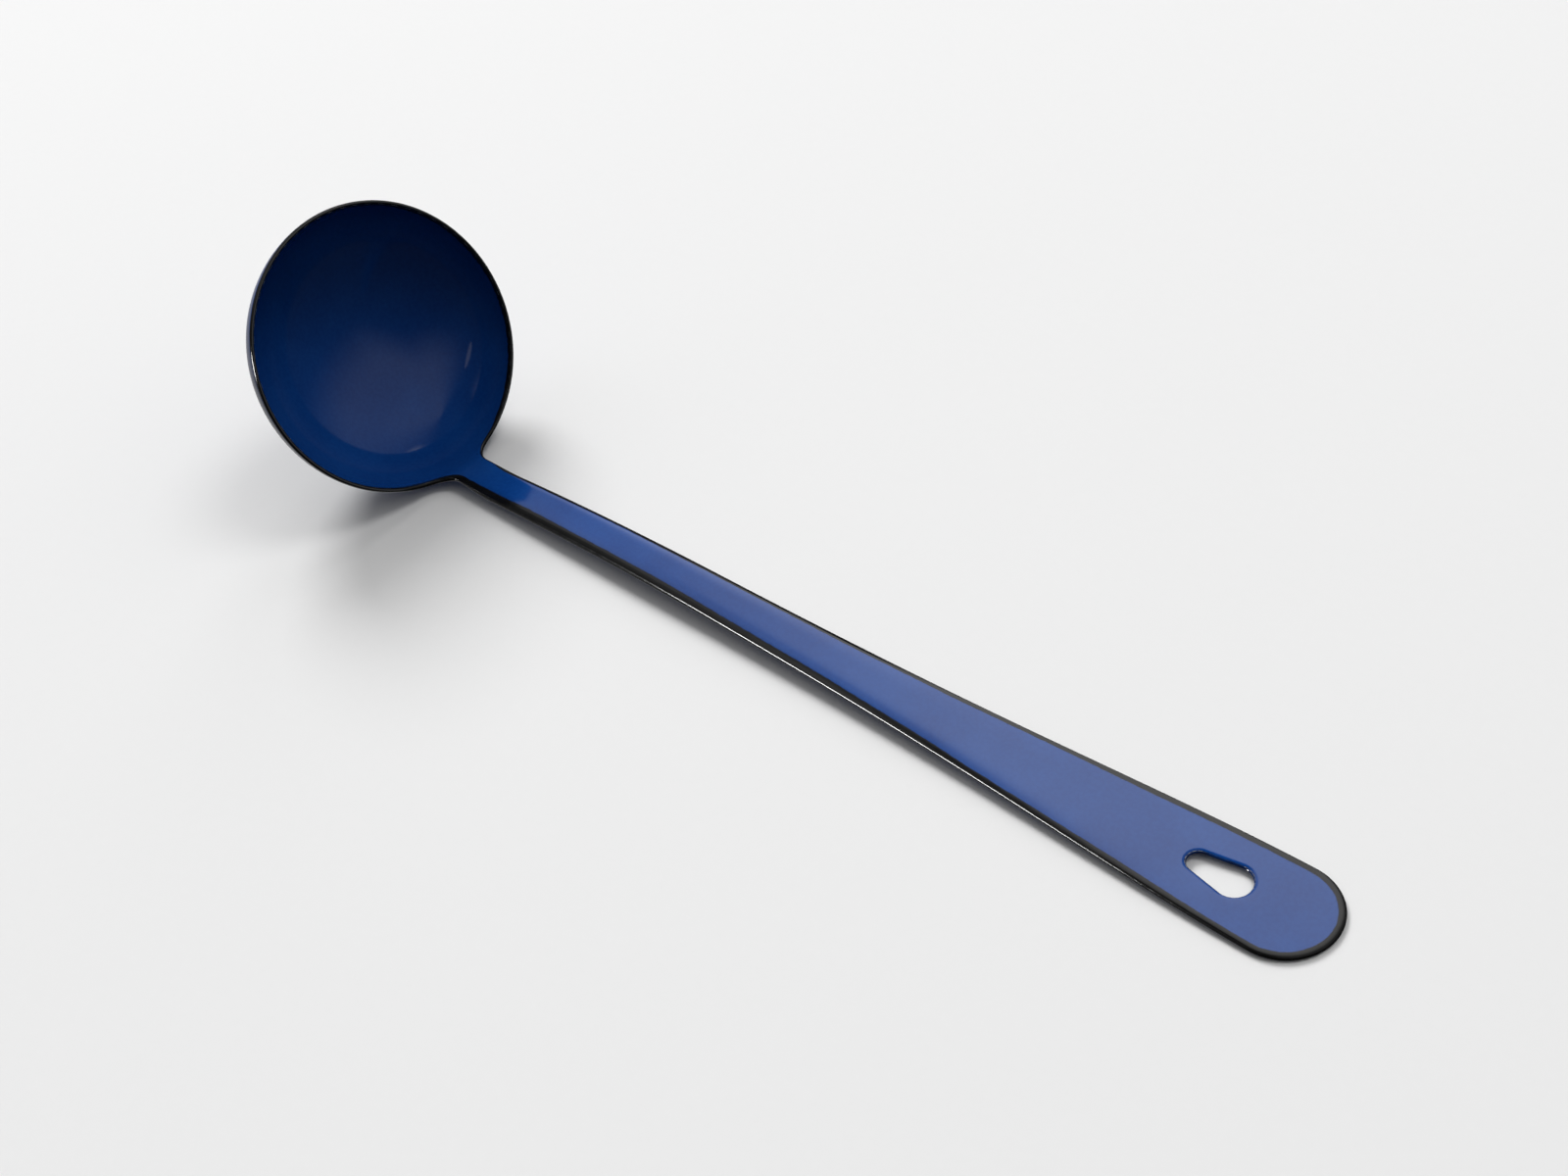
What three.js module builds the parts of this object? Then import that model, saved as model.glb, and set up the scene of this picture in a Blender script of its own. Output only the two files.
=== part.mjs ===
// Enamelled soup ladle. One steel pressing makes the bowl, the neck and the handle: the
// bowl's wall runs on past the lip, bends back through a filleted neck and widens into a
// flat handle with a round end and a teardrop hanging hole. Blue enamel covers both faces
// and lines the hole, and black enamel wraps every outer edge.
// The ladle lies on its back, as it does on a table: +X runs from the bowl to the handle's
// end, +Z is up, and the sheet is symmetrical about the plane Y = 0.
import * as THREE from "three";

// Driving dimensions, in millimetres
const steelThickness = 1;
const coatThickness = 0.2;
const lipRadius = 45.2;
const bowlDepth = 29.5;
const bowlTuckHeight = 2;
const edgeBandWidth = 1.5;
const edgeCover = 0.45;
const holeCover = 0.35;
const neckWidth = 12.2;
const neckFilletAlong = 7;
const neckFilletAcross = 8.5;
const neckBendRadius = 21.5;
const neckBlendLength = 22;
const easeLength = 100;
const handleLength = 318.2;
const handleEndWidth = 31.4;
const edgeTurnDown = 2.3;
const flatFrom = 310;
const holeLength = 18.7;
const holeWidth = 10.2;
const holeNarrowWidth = 6.4;
const holeFromEnd = 24.9;
const holeMargin = 6;

// Driving angles, in degrees from the lip's plane
const neckAngle = 65.5;
const handleAngle = 59.5;

// How much of the handle's widening is a steady taper, how late the rest swells, and how sharply
// the shank's edges turn down
const steadyTaperShare = 0.36;
const swellPower = 2.25;
const edgeTurnPower = 5;

// How finely the surfaces are divided
const bowlRings = 13;
const lipSteps = 54;
const acrossSteps = 6;
const filletSteps = 5;
const shankRows = 14;
const shankRowSpread = 1.6;
const endRows = 7;
const tipSteps = 6;
const edgeArcSteps = 6;
const slopeStep = 0.01;
const tablePasses = 8;

// Sizes that follow from the driving dimensions
const sheetThickness = steelThickness + 2 * coatThickness;
const halfSheet = sheetThickness / 2;
const halfSteel = steelThickness / 2;
const midLipRadius = lipRadius - halfSheet;
const bowlHeight = bowlDepth + bowlTuckHeight;
const lipAngle = Math.acos(bowlTuckHeight / bowlHeight);
const bowlRadius = midLipRadius / Math.sin(lipAngle);
const lipRise = bowlHeight * Math.sin(lipAngle);
const lipFlare = bowlRadius * Math.cos(lipAngle);
const lipSpeed = Math.hypot(lipRise, lipFlare);
const lipHeading = Math.atan2(lipRise, lipFlare);
const neckBend = lipHeading - THREE.MathUtils.degToRad(neckAngle);
const easeBend = THREE.MathUtils.degToRad(neckAngle - handleAngle);
const tipRadius = handleEndWidth / 2;
const tipCentre = handleLength - tipRadius;
const holeBigRadius = holeWidth / 2;
const holeSmallRadius = holeNarrowWidth / 2;
const holeBigCentre = handleLength - holeFromEnd - holeBigRadius;
const holeSmallCentre = holeBigCentre - (holeLength - holeBigRadius - holeSmallRadius);
const holeBlockStart = holeSmallCentre - holeSmallRadius - holeMargin;

// The sheet's middle surface has two coordinates: "along" is the distance past the lip
// (negative inside the bowl) and "across" is the distance from the plane of symmetry.

// An arc from a place and heading, which turns towards the table by its length over its radius
function arc(start, radius, length) {
  const heading = start.heading - length / radius;
  const x = start.x + radius * (Math.sin(start.heading) - Math.sin(heading));
  const z = start.z + radius * (Math.cos(heading) - Math.cos(start.heading));
  return { x, z, heading };
}

const lipStart = { x: midLipRadius, z: 0, heading: lipHeading };
const neckBendLength = neckBendRadius * neckBend;
const easeStart = arc(lipStart, neckBendRadius, neckBendLength);
const straightStart = arc(easeStart, easeLength / easeBend, easeLength);

// The handle's centreline: a tight bend at the neck, a long easing bend, then straight to the end
function centreline(along) {
  if (along <= neckBendLength) {
    return arc(lipStart, neckBendRadius, along);
  }
  const eased = along - neckBendLength;
  if (eased <= easeLength) {
    return arc(easeStart, easeLength / easeBend, eased);
  }
  const straight = eased - easeLength;
  const heading = straightStart.heading;
  const x = straightStart.x + straight * Math.cos(heading);
  const z = straightStart.z + straight * Math.sin(heading);
  return { x, z, heading };
}

// How far the handle has widened, from 0 at the neck to 1 where its round end starts
function widening(share) {
  const swell = (1 - Math.cos(Math.PI * share ** swellPower)) / 2;
  return steadyTaperShare * share + (1 - steadyTaperShare) * swell;
}

function halfWidth(along) {
  const share = (along - neckFilletAlong) / (tipCentre - neckFilletAlong);
  return THREE.MathUtils.lerp(neckWidth / 2, tipRadius, widening(THREE.MathUtils.clamp(share, 0, 1)));
}

// A point of the middle surface. Below the lip it lies on the bowl, which is an ellipsoid cut off
// by the lip's plane. Above it the lip's round sweep fades out along the neck while the edges turn
// down to stiffen the shank, and further on that fades too, so that the handle's end is flat.
function sheetPoint(along, across) {
  if (along <= 0) {
    const angle = lipAngle + along / lipSpeed;
    const ringRadius = bowlRadius * Math.sin(angle);
    const x = Math.sqrt(ringRadius ** 2 - across ** 2);
    return new THREE.Vector3(x, across, bowlTuckHeight - bowlHeight * Math.cos(angle));
  }
  const { x, z, heading } = centreline(along);
  const turned = THREE.MathUtils.smoothstep(along, 0, neckBlendLength);
  const flattened = THREE.MathUtils.smoothstep(along, neckBlendLength, flatFrom);
  const sweep = (midLipRadius - Math.sqrt(midLipRadius ** 2 - across ** 2)) * (1 - turned);
  const edgeTurn = Math.abs(across / halfWidth(along)) ** edgeTurnPower;
  const drop = edgeTurnDown * edgeTurn * turned * (1 - flattened);
  return new THREE.Vector3(x - sweep + drop * Math.sin(heading), across, z - drop * Math.cos(heading));
}

// A station is a point of the middle surface with the normal that points to the ladle's inner face
function sheetStation(along, across) {
  const ahead = sheetPoint(along + slopeStep, across).sub(sheetPoint(along - slopeStep, across));
  const aside = sheetPoint(along, across + slopeStep).sub(sheetPoint(along, across - slopeStep));
  return { point: sheetPoint(along, across), normal: ahead.cross(aside).normalize() };
}

function bowlStation(angle, azimuth) {
  const outward = new THREE.Vector3(
    Math.sin(angle) * Math.cos(azimuth),
    Math.sin(angle) * Math.sin(azimuth),
    -Math.cos(angle),
  );
  const axes = new THREE.Vector3(bowlRadius, bowlRadius, bowlHeight);
  const point = outward.clone().multiply(axes);
  point.z += bowlTuckHeight;
  return { point, normal: outward.divide(axes).negate().normalize() };
}

// An edge node is a place on the sheet's outer edge. It gives the station at any inset from that
// edge, and always the same one for the same inset.
function edgeNode(stationAt) {
  const made = new Map();
  return (inset) => {
    if (!made.has(inset)) {
      made.set(inset, stationAt(inset));
    }
    return made.get(inset);
  };
}

function handleEdgeNode(along, across, outAlong, outAcross, side) {
  const size = Math.hypot(outAlong, outAcross);
  return edgeNode((inset) => {
    const insetAlong = along - (inset * outAlong) / size;
    const insetAcross = across - (inset * outAcross) / size;
    return { ...sheetStation(insetAlong, side * insetAcross), along: insetAlong, across: insetAcross };
  });
}

function lipEdgeNode(azimuth) {
  return edgeNode((inset) => bowlStation(lipAngle - inset / lipSpeed, azimuth));
}

// The handle's outline on one side: an elliptical fillet at the neck, a taper and a round end
function filletNodes(side) {
  return Array.from({ length: filletSteps }, (_, step) => {
    const turn = (step / filletSteps) * (Math.PI / 2);
    const along = neckFilletAlong * (1 - Math.cos(turn));
    const across = neckWidth / 2 + neckFilletAcross * (1 - Math.sin(turn));
    const outAlong = Math.cos(turn) / neckFilletAlong;
    const outAcross = Math.sin(turn) / neckFilletAcross;
    return handleEdgeNode(along, across, outAlong, outAcross, side);
  });
}

function taperNode(share, side) {
  const along = THREE.MathUtils.lerp(neckFilletAlong, tipCentre, share);
  const slope = (halfWidth(along + slopeStep) - halfWidth(along - slopeStep)) / (2 * slopeStep);
  return handleEdgeNode(along, halfWidth(along), -slope, 1, side);
}

const holeBlockShare = (holeBlockStart - neckFilletAlong) / (tipCentre - neckFilletAlong);

function shankNodes(side) {
  return Array.from({ length: shankRows + 1 }, (_, row) => {
    const share = holeBlockShare * (row / shankRows) ** shankRowSpread;
    return taperNode(share, side);
  });
}

function endNodes(side) {
  return Array.from({ length: endRows }, (_, row) => {
    const share = holeBlockShare + (1 - holeBlockShare) * ((row + 1) / endRows);
    return taperNode(share, side);
  });
}

function tipNode(turn, side) {
  const along = tipCentre + tipRadius * Math.sin(turn);
  return handleEdgeNode(along, tipRadius * Math.cos(turn), Math.sin(turn), Math.cos(turn), side);
}

function tipNodes(side) {
  return Array.from({ length: tipSteps - 1 }, (_, step) => {
    return tipNode(((step + 1) / tipSteps) * (Math.PI / 2), side);
  });
}

// The edge nodes of both sides, from the lip to the round end, and the one at the very end
function sideNodes(side) {
  const rows = [...filletNodes(side), ...shankNodes(side)];
  const end = [...endNodes(side), ...tipNodes(side)];
  return { rows, end };
}

const left = sideNodes(-1);
const right = sideNodes(1);
const apex = tipNode(Math.PI / 2, 1);

// The lip's edge nodes run from the fillet on the +Y side round the bowl to the other fillet
const lipCorner = right.rows[0](edgeBandWidth).point;
const cornerAzimuth = Math.atan2(lipCorner.y, lipCorner.x);
const lipSweep = 2 * Math.PI - 2 * cornerAzimuth;
const lipNodes = [
  right.rows[0],
  ...Array.from({ length: lipSteps - 1 }, (_, step) => {
    return lipEdgeNode(cornerAzimuth + (lipSweep * (step + 1)) / lipSteps);
  }),
  left.rows[0],
];
const handleNodes = [
  ...left.rows,
  ...left.end,
  apex,
  ...[...right.end].reverse(),
  ...[...right.rows].reverse(),
];

// The hanging hole's outline: two circles and their common tangents, at an inset into the metal
function holeStations(inset, count) {
  const lean = (holeBigRadius - holeSmallRadius) / (holeBigCentre - holeSmallCentre);
  const tangent = Math.acos(-lean);
  const outline = new THREE.Path();
  outline.absarc(holeBigCentre, 0, holeBigRadius + inset, 0, tangent);
  outline.absarc(holeSmallCentre, 0, holeSmallRadius + inset, tangent, 2 * Math.PI - tangent);
  outline.absarc(holeBigCentre, 0, holeBigRadius + inset, 2 * Math.PI - tangent, 2 * Math.PI);
  const points = outline.getSpacedPoints(count).slice(0, count);
  return points.map((place) => sheetStation(place.x, place.y));
}

// The rows of stations that cross the neck and the shank, between the black bands
function crossRow(leftNode, rightNode) {
  const start = leftNode(edgeBandWidth);
  const end = rightNode(edgeBandWidth);
  const between = Array.from({ length: acrossSteps - 1 }, (_, step) => {
    const share = (2 * (step + 1)) / acrossSteps - 1;
    return sheetStation(end.along, share * end.across);
  });
  return [start, ...between, end];
}

const rows = left.rows.map((node, row) => crossRow(node, right.rows[row]));

// The bowl's rings of stations, from its bottom up to the band's inner line, where the first row
// of the neck closes the ring
function bowlRing(ring) {
  const topRing = [...rows[0], ...lipNodes.slice(1, -1).map((node) => node(edgeBandWidth))];
  if (ring === bowlRings) {
    return topRing;
  }
  const angle = ((lipAngle - edgeBandWidth / lipSpeed) * ring) / bowlRings;
  return topRing.map(({ point }) => bowlStation(angle, Math.atan2(point.y, point.x)));
}

const rings = Array.from({ length: bowlRings }, (_, ring) => bowlRing(ring + 1));
const bottom = bowlStation(0, 0);

// The outline of the handle's end, all round the hole's block, starting at the very end
const blockOutline = [
  apex(edgeBandWidth),
  ...[...right.end].reverse().map((node) => node(edgeBandWidth)),
  ...[...rows.at(-1)].reverse(),
  ...left.end.map((node) => node(edgeBandWidth)),
];

// Cells between two loops or two rows of stations, each turning the same way seen from inside
function cellsBetween(outer, inner, closed) {
  const count = closed ? outer.length : outer.length - 1;
  return Array.from({ length: count }, (_, step) => {
    const next = (step + 1) % outer.length;
    return [outer[step], outer[next], inner[next], inner[step]];
  });
}

function turnedOver(cell) {
  return [...cell].reverse();
}

// The face that the blue coats cover: the bowl, the neck, the shank and the end round the hole
const holeEdge = holeStations(holeCover, blockOutline.length);
const faceCells = [
  ...rings[0].map((station, step) => [bottom, station, rings[0][(step + 1) % rings[0].length]]),
  ...rings.slice(1).flatMap((ring, step) => cellsBetween(ring, rings[step], true)),
  ...rows.slice(1).flatMap((row, step) => cellsBetween(rows[step], row, false)).map(turnedOver),
  ...cellsBetween(blockOutline, holeEdge, true),
];
const edgeNodes = [...lipNodes.slice(0, -1), ...handleNodes.slice(0, -1)];
const faceLoop = edgeNodes.map((node) => node(edgeBandWidth));
const steelLoop = edgeNodes.map((node) => node(edgeCover));
const holeLoop = [...holeEdge].reverse();
const steelCells = [...faceCells, ...cellsBetween(steelLoop, faceLoop, true)];

// Collects the vertices and triangles of one closed solid. Each vertex is a station moved along
// its normal, so pieces that touch share exactly the same points.
class Solid {
  positions = [];
  triangles = [];
  known = new Map();

  vertex(station, offset) {
    if (!this.known.has(station)) {
      this.known.set(station, new Map());
    }
    const offsets = this.known.get(station);
    if (!offsets.has(offset)) {
      offsets.set(offset, this.positions.length / 3);
      this.positions.push(...station.point.clone().addScaledVector(station.normal, offset).toArray());
    }
    return offsets.get(offset);
  }

  // A fan from the first corner, so that the two sides of a shared cell are cut along one diagonal
  face(corners) {
    for (let corner = 2; corner < corners.length; corner += 1) {
      this.triangles.push(corners[0], corners[corner - 1], corners[corner]);
    }
  }

  mesh(name, material) {
    const geometry = new THREE.BufferGeometry();
    geometry.setAttribute("position", new THREE.Float32BufferAttribute(this.positions, 3));
    geometry.setIndex(this.triangles);
    geometry.computeVertexNormals();
    const mesh = new THREE.Mesh(geometry, material);
    mesh.name = name;
    return mesh;
  }
}

// A layer of the sheet between two offsets, with walls along its loops
function layer(cells, loops, low, high) {
  const solid = new Solid();
  for (const cell of cells) {
    solid.face(cell.map((station) => solid.vertex(station, high)));
    const [first, ...others] = cell.map((station) => solid.vertex(station, low));
    solid.face([first, ...others.reverse()]);
  }
  for (const loop of loops) {
    loop.forEach((station, step) => {
      const next = loop[(step + 1) % loop.length];
      const lowEdge = [solid.vertex(station, low), solid.vertex(next, low)];
      solid.face([...lowEdge, solid.vertex(next, high), solid.vertex(station, high)]);
    });
  }
  return solid;
}

// A section swept along edge nodes. The section's corners are pairs of inset and offset, in turning
// order. Each side is cut along the diagonal from its smaller inset, as the cells of the sheet are.
function sweep(nodes, section, closed) {
  const solid = new Solid();
  const corner = (node, { inset, offset }) => solid.vertex(node(inset), offset);
  const count = closed ? nodes.length : nodes.length - 1;
  for (let step = 0; step < count; step += 1) {
    const here = nodes[step];
    const next = nodes[(step + 1) % nodes.length];
    section.forEach((from, side) => {
      const to = section[(side + 1) % section.length];
      const face = [corner(here, from), corner(here, to), corner(next, to), corner(next, from)];
      const [first, ...others] = face;
      solid.face(from.inset > to.inset ? [...others, first] : face);
    });
  }
  if (!closed) {
    const outline = section.map(({ inset, offset }) => new THREE.Vector2(inset, offset));
    for (const triangle of THREE.ShapeUtils.triangulateShape(outline, [])) {
      solid.face(triangle.map((at) => corner(nodes.at(-1), section[at])));
      solid.face(triangle.map((at) => corner(nodes[0], section[at])).reverse());
    }
  }
  return solid;
}

// A rounded edge that bulges by its reach, from the sheet's back face to its inner face
function roundedEdge(reach) {
  return Array.from({ length: edgeArcSteps + 1 }, (_, step) => {
    const turn = (step / edgeArcSteps - 0.5) * Math.PI;
    return { inset: reach * (1 - Math.cos(turn)), offset: halfSheet * Math.sin(turn) };
  });
}

// The black edge's section is a channel that grips the steel's rim and ends flush with the blue coats
const edgeSection = [
  ...roundedEdge(halfSheet),
  { inset: edgeBandWidth, offset: halfSheet },
  { inset: edgeBandWidth, offset: halfSteel },
  { inset: edgeCover, offset: halfSteel },
  { inset: edgeCover, offset: -halfSteel },
  { inset: edgeBandWidth, offset: -halfSteel },
  { inset: edgeBandWidth, offset: -halfSheet },
].reverse();
const liningSection = [
  ...roundedEdge(holeCover),
  { inset: holeCover, offset: halfSteel },
  { inset: holeCover, offset: -halfSteel },
].reverse();
const holeNodes = holeLoop.map((_, step) => {
  return edgeNode((inset) => holeStations(inset, holeLoop.length).reverse()[step]);
});

// Materials
const steel = new THREE.MeshStandardMaterial({ color: 0x9da1a5, roughness: 0.45, metalness: 1 });
const insideBlue = new THREE.MeshStandardMaterial({ color: 0x0b2f78, roughness: 0.12, metalness: 0 });
const outsideBlue = new THREE.MeshStandardMaterial({ color: 0x0b2f78, roughness: 0.14, metalness: 0 });
const liningBlue = new THREE.MeshStandardMaterial({ color: 0x08245c, roughness: 0.14, metalness: 0 });
const lipBlack = new THREE.MeshStandardMaterial({ color: 0x17171a, roughness: 0.16, metalness: 0 });
const handleBlack = new THREE.MeshStandardMaterial({ color: 0x17171a, roughness: 0.18, metalness: 0 });

// The turn that lays the ladle on its back, so that the table's line touches the bowl and the rounded
// edge of the handle's end. The bowl's reach below its centre depends on the turn, so a few passes
// settle it.
const tip = centreline(handleLength - halfSheet);
const tipRise = tip.z - bowlTuckHeight;
const tipBearing = Math.atan2(tipRise, tip.x);
const tipDistance = Math.hypot(tip.x, tipRise);
let tableTurn = tipBearing;
for (let pass = 0; pass < tablePasses; pass += 1) {
  const reach = Math.hypot(bowlRadius * Math.sin(tableTurn), bowlHeight * Math.cos(tableTurn));
  tableTurn = tipBearing + Math.asin(reach / tipDistance);
}

// The ladle, modelled with its lip level and then laid on its back
const ladle = new THREE.Group();
const faceLoops = [faceLoop, holeLoop];
ladle.add(
  layer(steelCells, [steelLoop, holeLoop], -halfSteel, halfSteel).mesh("steel_pressing", steel),
  layer(faceCells, faceLoops, halfSteel, halfSheet).mesh("inside_enamel", insideBlue),
  layer(faceCells, faceLoops, -halfSheet, -halfSteel).mesh("outside_enamel", outsideBlue),
  sweep(lipNodes, edgeSection, false).mesh("bowl_rim_edge", lipBlack),
  sweep(handleNodes, edgeSection, false).mesh("handle_edge", handleBlack),
  sweep(holeNodes, liningSection, true).mesh("hole_lining", liningBlue),
);
ladle.rotation.y = tableTurn;
const box = new THREE.Box3().setFromObject(ladle, true);
const middle = box.getCenter(new THREE.Vector3());
ladle.position.set(-middle.x, 0, -box.min.z);

const part = new THREE.Group();
part.add(ladle);

export default part;
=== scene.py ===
# Enamelled soup ladle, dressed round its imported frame.
# The shapes are worked out in millimetres with the lip level, then laid on the table in metres.
import math

import bmesh
import bpy
import numpy as np
from mathutils import Matrix, Vector


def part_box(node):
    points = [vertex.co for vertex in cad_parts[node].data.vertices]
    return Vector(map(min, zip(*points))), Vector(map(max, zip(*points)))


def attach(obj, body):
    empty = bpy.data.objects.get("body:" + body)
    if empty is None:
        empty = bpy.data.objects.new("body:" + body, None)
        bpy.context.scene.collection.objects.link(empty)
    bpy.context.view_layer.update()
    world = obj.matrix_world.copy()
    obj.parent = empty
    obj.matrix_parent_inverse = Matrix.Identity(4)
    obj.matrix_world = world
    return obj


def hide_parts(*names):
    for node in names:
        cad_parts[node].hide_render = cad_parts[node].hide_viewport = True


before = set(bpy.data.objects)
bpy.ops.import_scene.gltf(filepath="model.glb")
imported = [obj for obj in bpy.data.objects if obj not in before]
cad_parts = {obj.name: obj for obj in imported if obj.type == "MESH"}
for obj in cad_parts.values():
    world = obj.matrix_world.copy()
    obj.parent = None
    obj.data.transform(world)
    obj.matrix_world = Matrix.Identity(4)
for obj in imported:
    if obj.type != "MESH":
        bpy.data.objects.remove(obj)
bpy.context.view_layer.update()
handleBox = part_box("handle_edge")
millimetre = 0.001  # in metres
print("frame loaded:", len(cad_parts), "nodes")


# The pressing: one sheet, described by "along", the distance past the lip (negative in the bowl),
# and "across", the distance from the plane of symmetry.
pressing = {
    "steel": 1.0,
    "coat": 0.2,
    "lipRadius": 45.2,
    "bowlDepth": 29.5,
    "bowlTuck": 2.0,
    "neckWidth": 12.2,
    "filletAlong": 7.0,
    "filletAcross": 8.5,
    "bendRadius": 21.5,
    "blendLength": 22.0,
    "easeLength": 100.0,
    "handleLength": 318.2,
    "endWidth": 31.4,
    "edgeTurnDown": 2.3,
    "edgeTurnPower": 5.0,
    "flatFrom": 310.0,
    "neckAngle": 65.5,
    "handleAngle": 59.5,
    "steadyTaper": 0.36,
    "swellPower": 2.25,
}
halfSteel = pressing["steel"] / 2
halfSheet = halfSteel + pressing["coat"]
midLip = pressing["lipRadius"] - halfSheet
bowlHeight = pressing["bowlDepth"] + pressing["bowlTuck"]
lipAngle = math.acos(pressing["bowlTuck"] / bowlHeight)
bowlRadius = midLip / math.sin(lipAngle)
lipRise = bowlHeight * math.sin(lipAngle)
lipFlare = bowlRadius * math.cos(lipAngle)
lipSpeed = math.hypot(lipRise, lipFlare)
lipHeading = math.atan2(lipRise, lipFlare)
neckHeading = math.radians(pressing["neckAngle"])
handleHeading = math.radians(pressing["handleAngle"])
bendLength = pressing["bendRadius"] * (lipHeading - neckHeading)
easeRadius = pressing["easeLength"] / (neckHeading - handleHeading)
tipRadius = pressing["endWidth"] / 2
tipCentre = pressing["handleLength"] - tipRadius
slopeStep = 0.01
settlePasses = 8


# The smooth step is three times the square of the share less twice its cube.
def smoothStep(value, low, high):
    share = np.clip((value - low) / (high - low), 0, 1)
    return share * share * (3 - 2 * share)


# An arc turns from its heading by length over radius: x gains the radius times the drop in the
# heading's sine, and z the radius times the gain in its cosine.
def arcStep(heading, radius, length):
    turned = heading - length / radius
    gainX = radius * (np.sin(heading) - np.sin(turned))
    gainZ = radius * (np.cos(turned) - np.cos(heading))
    return gainX, gainZ, turned


# The centreline: a tight bend at the neck, a long easing bend, then straight to the end.
def centreline(along):
    bent = np.clip(along, 0, bendLength)
    eased = np.clip(along - bendLength, 0, pressing["easeLength"])
    straight = np.maximum(along - bendLength - pressing["easeLength"], 0)
    bendX, bendZ, bendTurned = arcStep(lipHeading, pressing["bendRadius"], bent)
    easeX, easeZ, heading = arcStep(bendTurned, easeRadius, eased)
    x = midLip + bendX + easeX + straight * math.cos(handleHeading)
    z = bendZ + easeZ + straight * math.sin(handleHeading)
    return x, z, heading


# Half the handle's width: a steady share of the widening, and a swell of half a cosine wave whose
# phase is the share of the length to a power.
def halfWidth(along):
    share = np.clip((along - pressing["filletAlong"]) / (tipCentre - pressing["filletAlong"]), 0, 1)
    swell = (1 - np.cos(np.pi * share ** pressing["swellPower"])) / 2
    widening = pressing["steadyTaper"] * share + (1 - pressing["steadyTaper"]) * swell
    return pressing["neckWidth"] / 2 + (tipRadius - pressing["neckWidth"] / 2) * widening


# The sheet's middle surface. In the bowl it is an ellipsoid cut off by the lip's plane. Past the lip
# the lip's round sweep fades out while the edges drop by the fifth power of their share of the
# half width, and the drop fades to nothing where the handle is flat.
def sheetPoint(along, across):
    angle = lipAngle + np.minimum(along, 0) / lipSpeed
    bowlX = np.sqrt(np.maximum((bowlRadius * np.sin(angle)) ** 2 - across ** 2, 0))
    bowlZ = pressing["bowlTuck"] - bowlHeight * np.cos(angle)
    x, z, heading = centreline(along)
    turned = smoothStep(along, 0, pressing["blendLength"])
    flattened = smoothStep(along, pressing["blendLength"], pressing["flatFrom"])
    sweep = (midLip - np.sqrt(midLip ** 2 - across ** 2)) * (1 - turned)
    edgeTurn = np.abs(across / halfWidth(along)) ** pressing["edgeTurnPower"]
    drop = pressing["edgeTurnDown"] * edgeTurn * turned * (1 - flattened)
    x = np.where(along <= 0, bowlX, x - sweep + drop * np.sin(heading))
    z = np.where(along <= 0, bowlZ, z - drop * np.cos(heading))
    return np.stack(np.broadcast_arrays(x, across, z), -1)


# A station's normal is the cross product of the slopes along and across the sheet.
def sheetStation(along, across):
    along, across = np.broadcast_arrays(along, across)
    ahead = sheetPoint(along + slopeStep, across) - sheetPoint(along - slopeStep, across)
    aside = sheetPoint(along, across + slopeStep) - sheetPoint(along, across - slopeStep)
    normal = np.cross(ahead, aside)
    return sheetPoint(along, across), normal / np.linalg.norm(normal, axis=-1, keepdims=True)


# The bowl's point at an angle up from its bottom, and the ellipsoid's normal, which is the point
# over the squares of the half axes.
def bowlStation(angle, azimuth):
    angle, azimuth = np.broadcast_arrays(angle, azimuth)
    ring = np.sin(angle)
    outward = np.stack([ring * np.cos(azimuth), ring * np.sin(azimuth), -np.cos(angle)], -1)
    axes = np.array([bowlRadius, bowlRadius, bowlHeight])
    normal = -outward / axes
    point = outward * axes + np.array([0, 0, pressing["bowlTuck"]])
    return point, normal / np.linalg.norm(normal, axis=-1, keepdims=True)


tipX, tipZ, _ = centreline(pressing["handleLength"] - halfSheet)


# The table's line touches the bowl and the rounded edge of the handle's end. The bowl's reach below
# its centre is that of an ellipse turned by the same angle, so a few passes settle it.
def tableTurn():
    rise = tipZ - pressing["bowlTuck"]
    bearing = math.atan2(rise, tipX)
    turn = bearing
    for _ in range(settlePasses):
        reach = math.hypot(bowlRadius * math.sin(turn), bowlHeight * math.cos(turn))
        turn = bearing + math.asin(reach / math.hypot(tipX, rise))
    return turn, reach


turn, bowlReach = tableTurn()
layX = handleBox[1].x / millimetre - halfSheet - tipX * math.cos(turn) - tipZ * math.sin(turn)
layZ = bowlReach + halfSheet - pressing["bowlTuck"] * math.cos(turn)


# Laying down turns the lip's frame about Y, shifts it to the table and goes over to metres.
def layDown(points):
    x, y, z = np.moveaxis(points, -1, 0)
    laidX = x * math.cos(turn) + z * math.sin(turn) + layX
    laidZ = z * math.cos(turn) - x * math.sin(turn) + layZ
    return np.stack([laidX, y, laidZ], -1) * millimetre


# The black edge: its band on each face, its cover of the cut edge, the nose of the bowl's rim, how the
# brush skewed and thinned the line on the inner face, and the counts of points.
edge = {
    "bandWidth": 1.5,
    "cover": 0.45,
    "rimNose": 1.25,
    "rimEase": 0.04,
    # The crest share is the middle of the rim's nose, where a paler grey is painted as a highlight line.
    "crestShare": 0.6,
    "rimSkew": 0.6,
    "thinLead": 1.2,
    "thinLength": 12.0,
    "filletPoints": 24,
    "taperPoints": 260,
    "tipPoints": 40,
    "rimPoints": 300,
    "nosePoints": 16,
}


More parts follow.
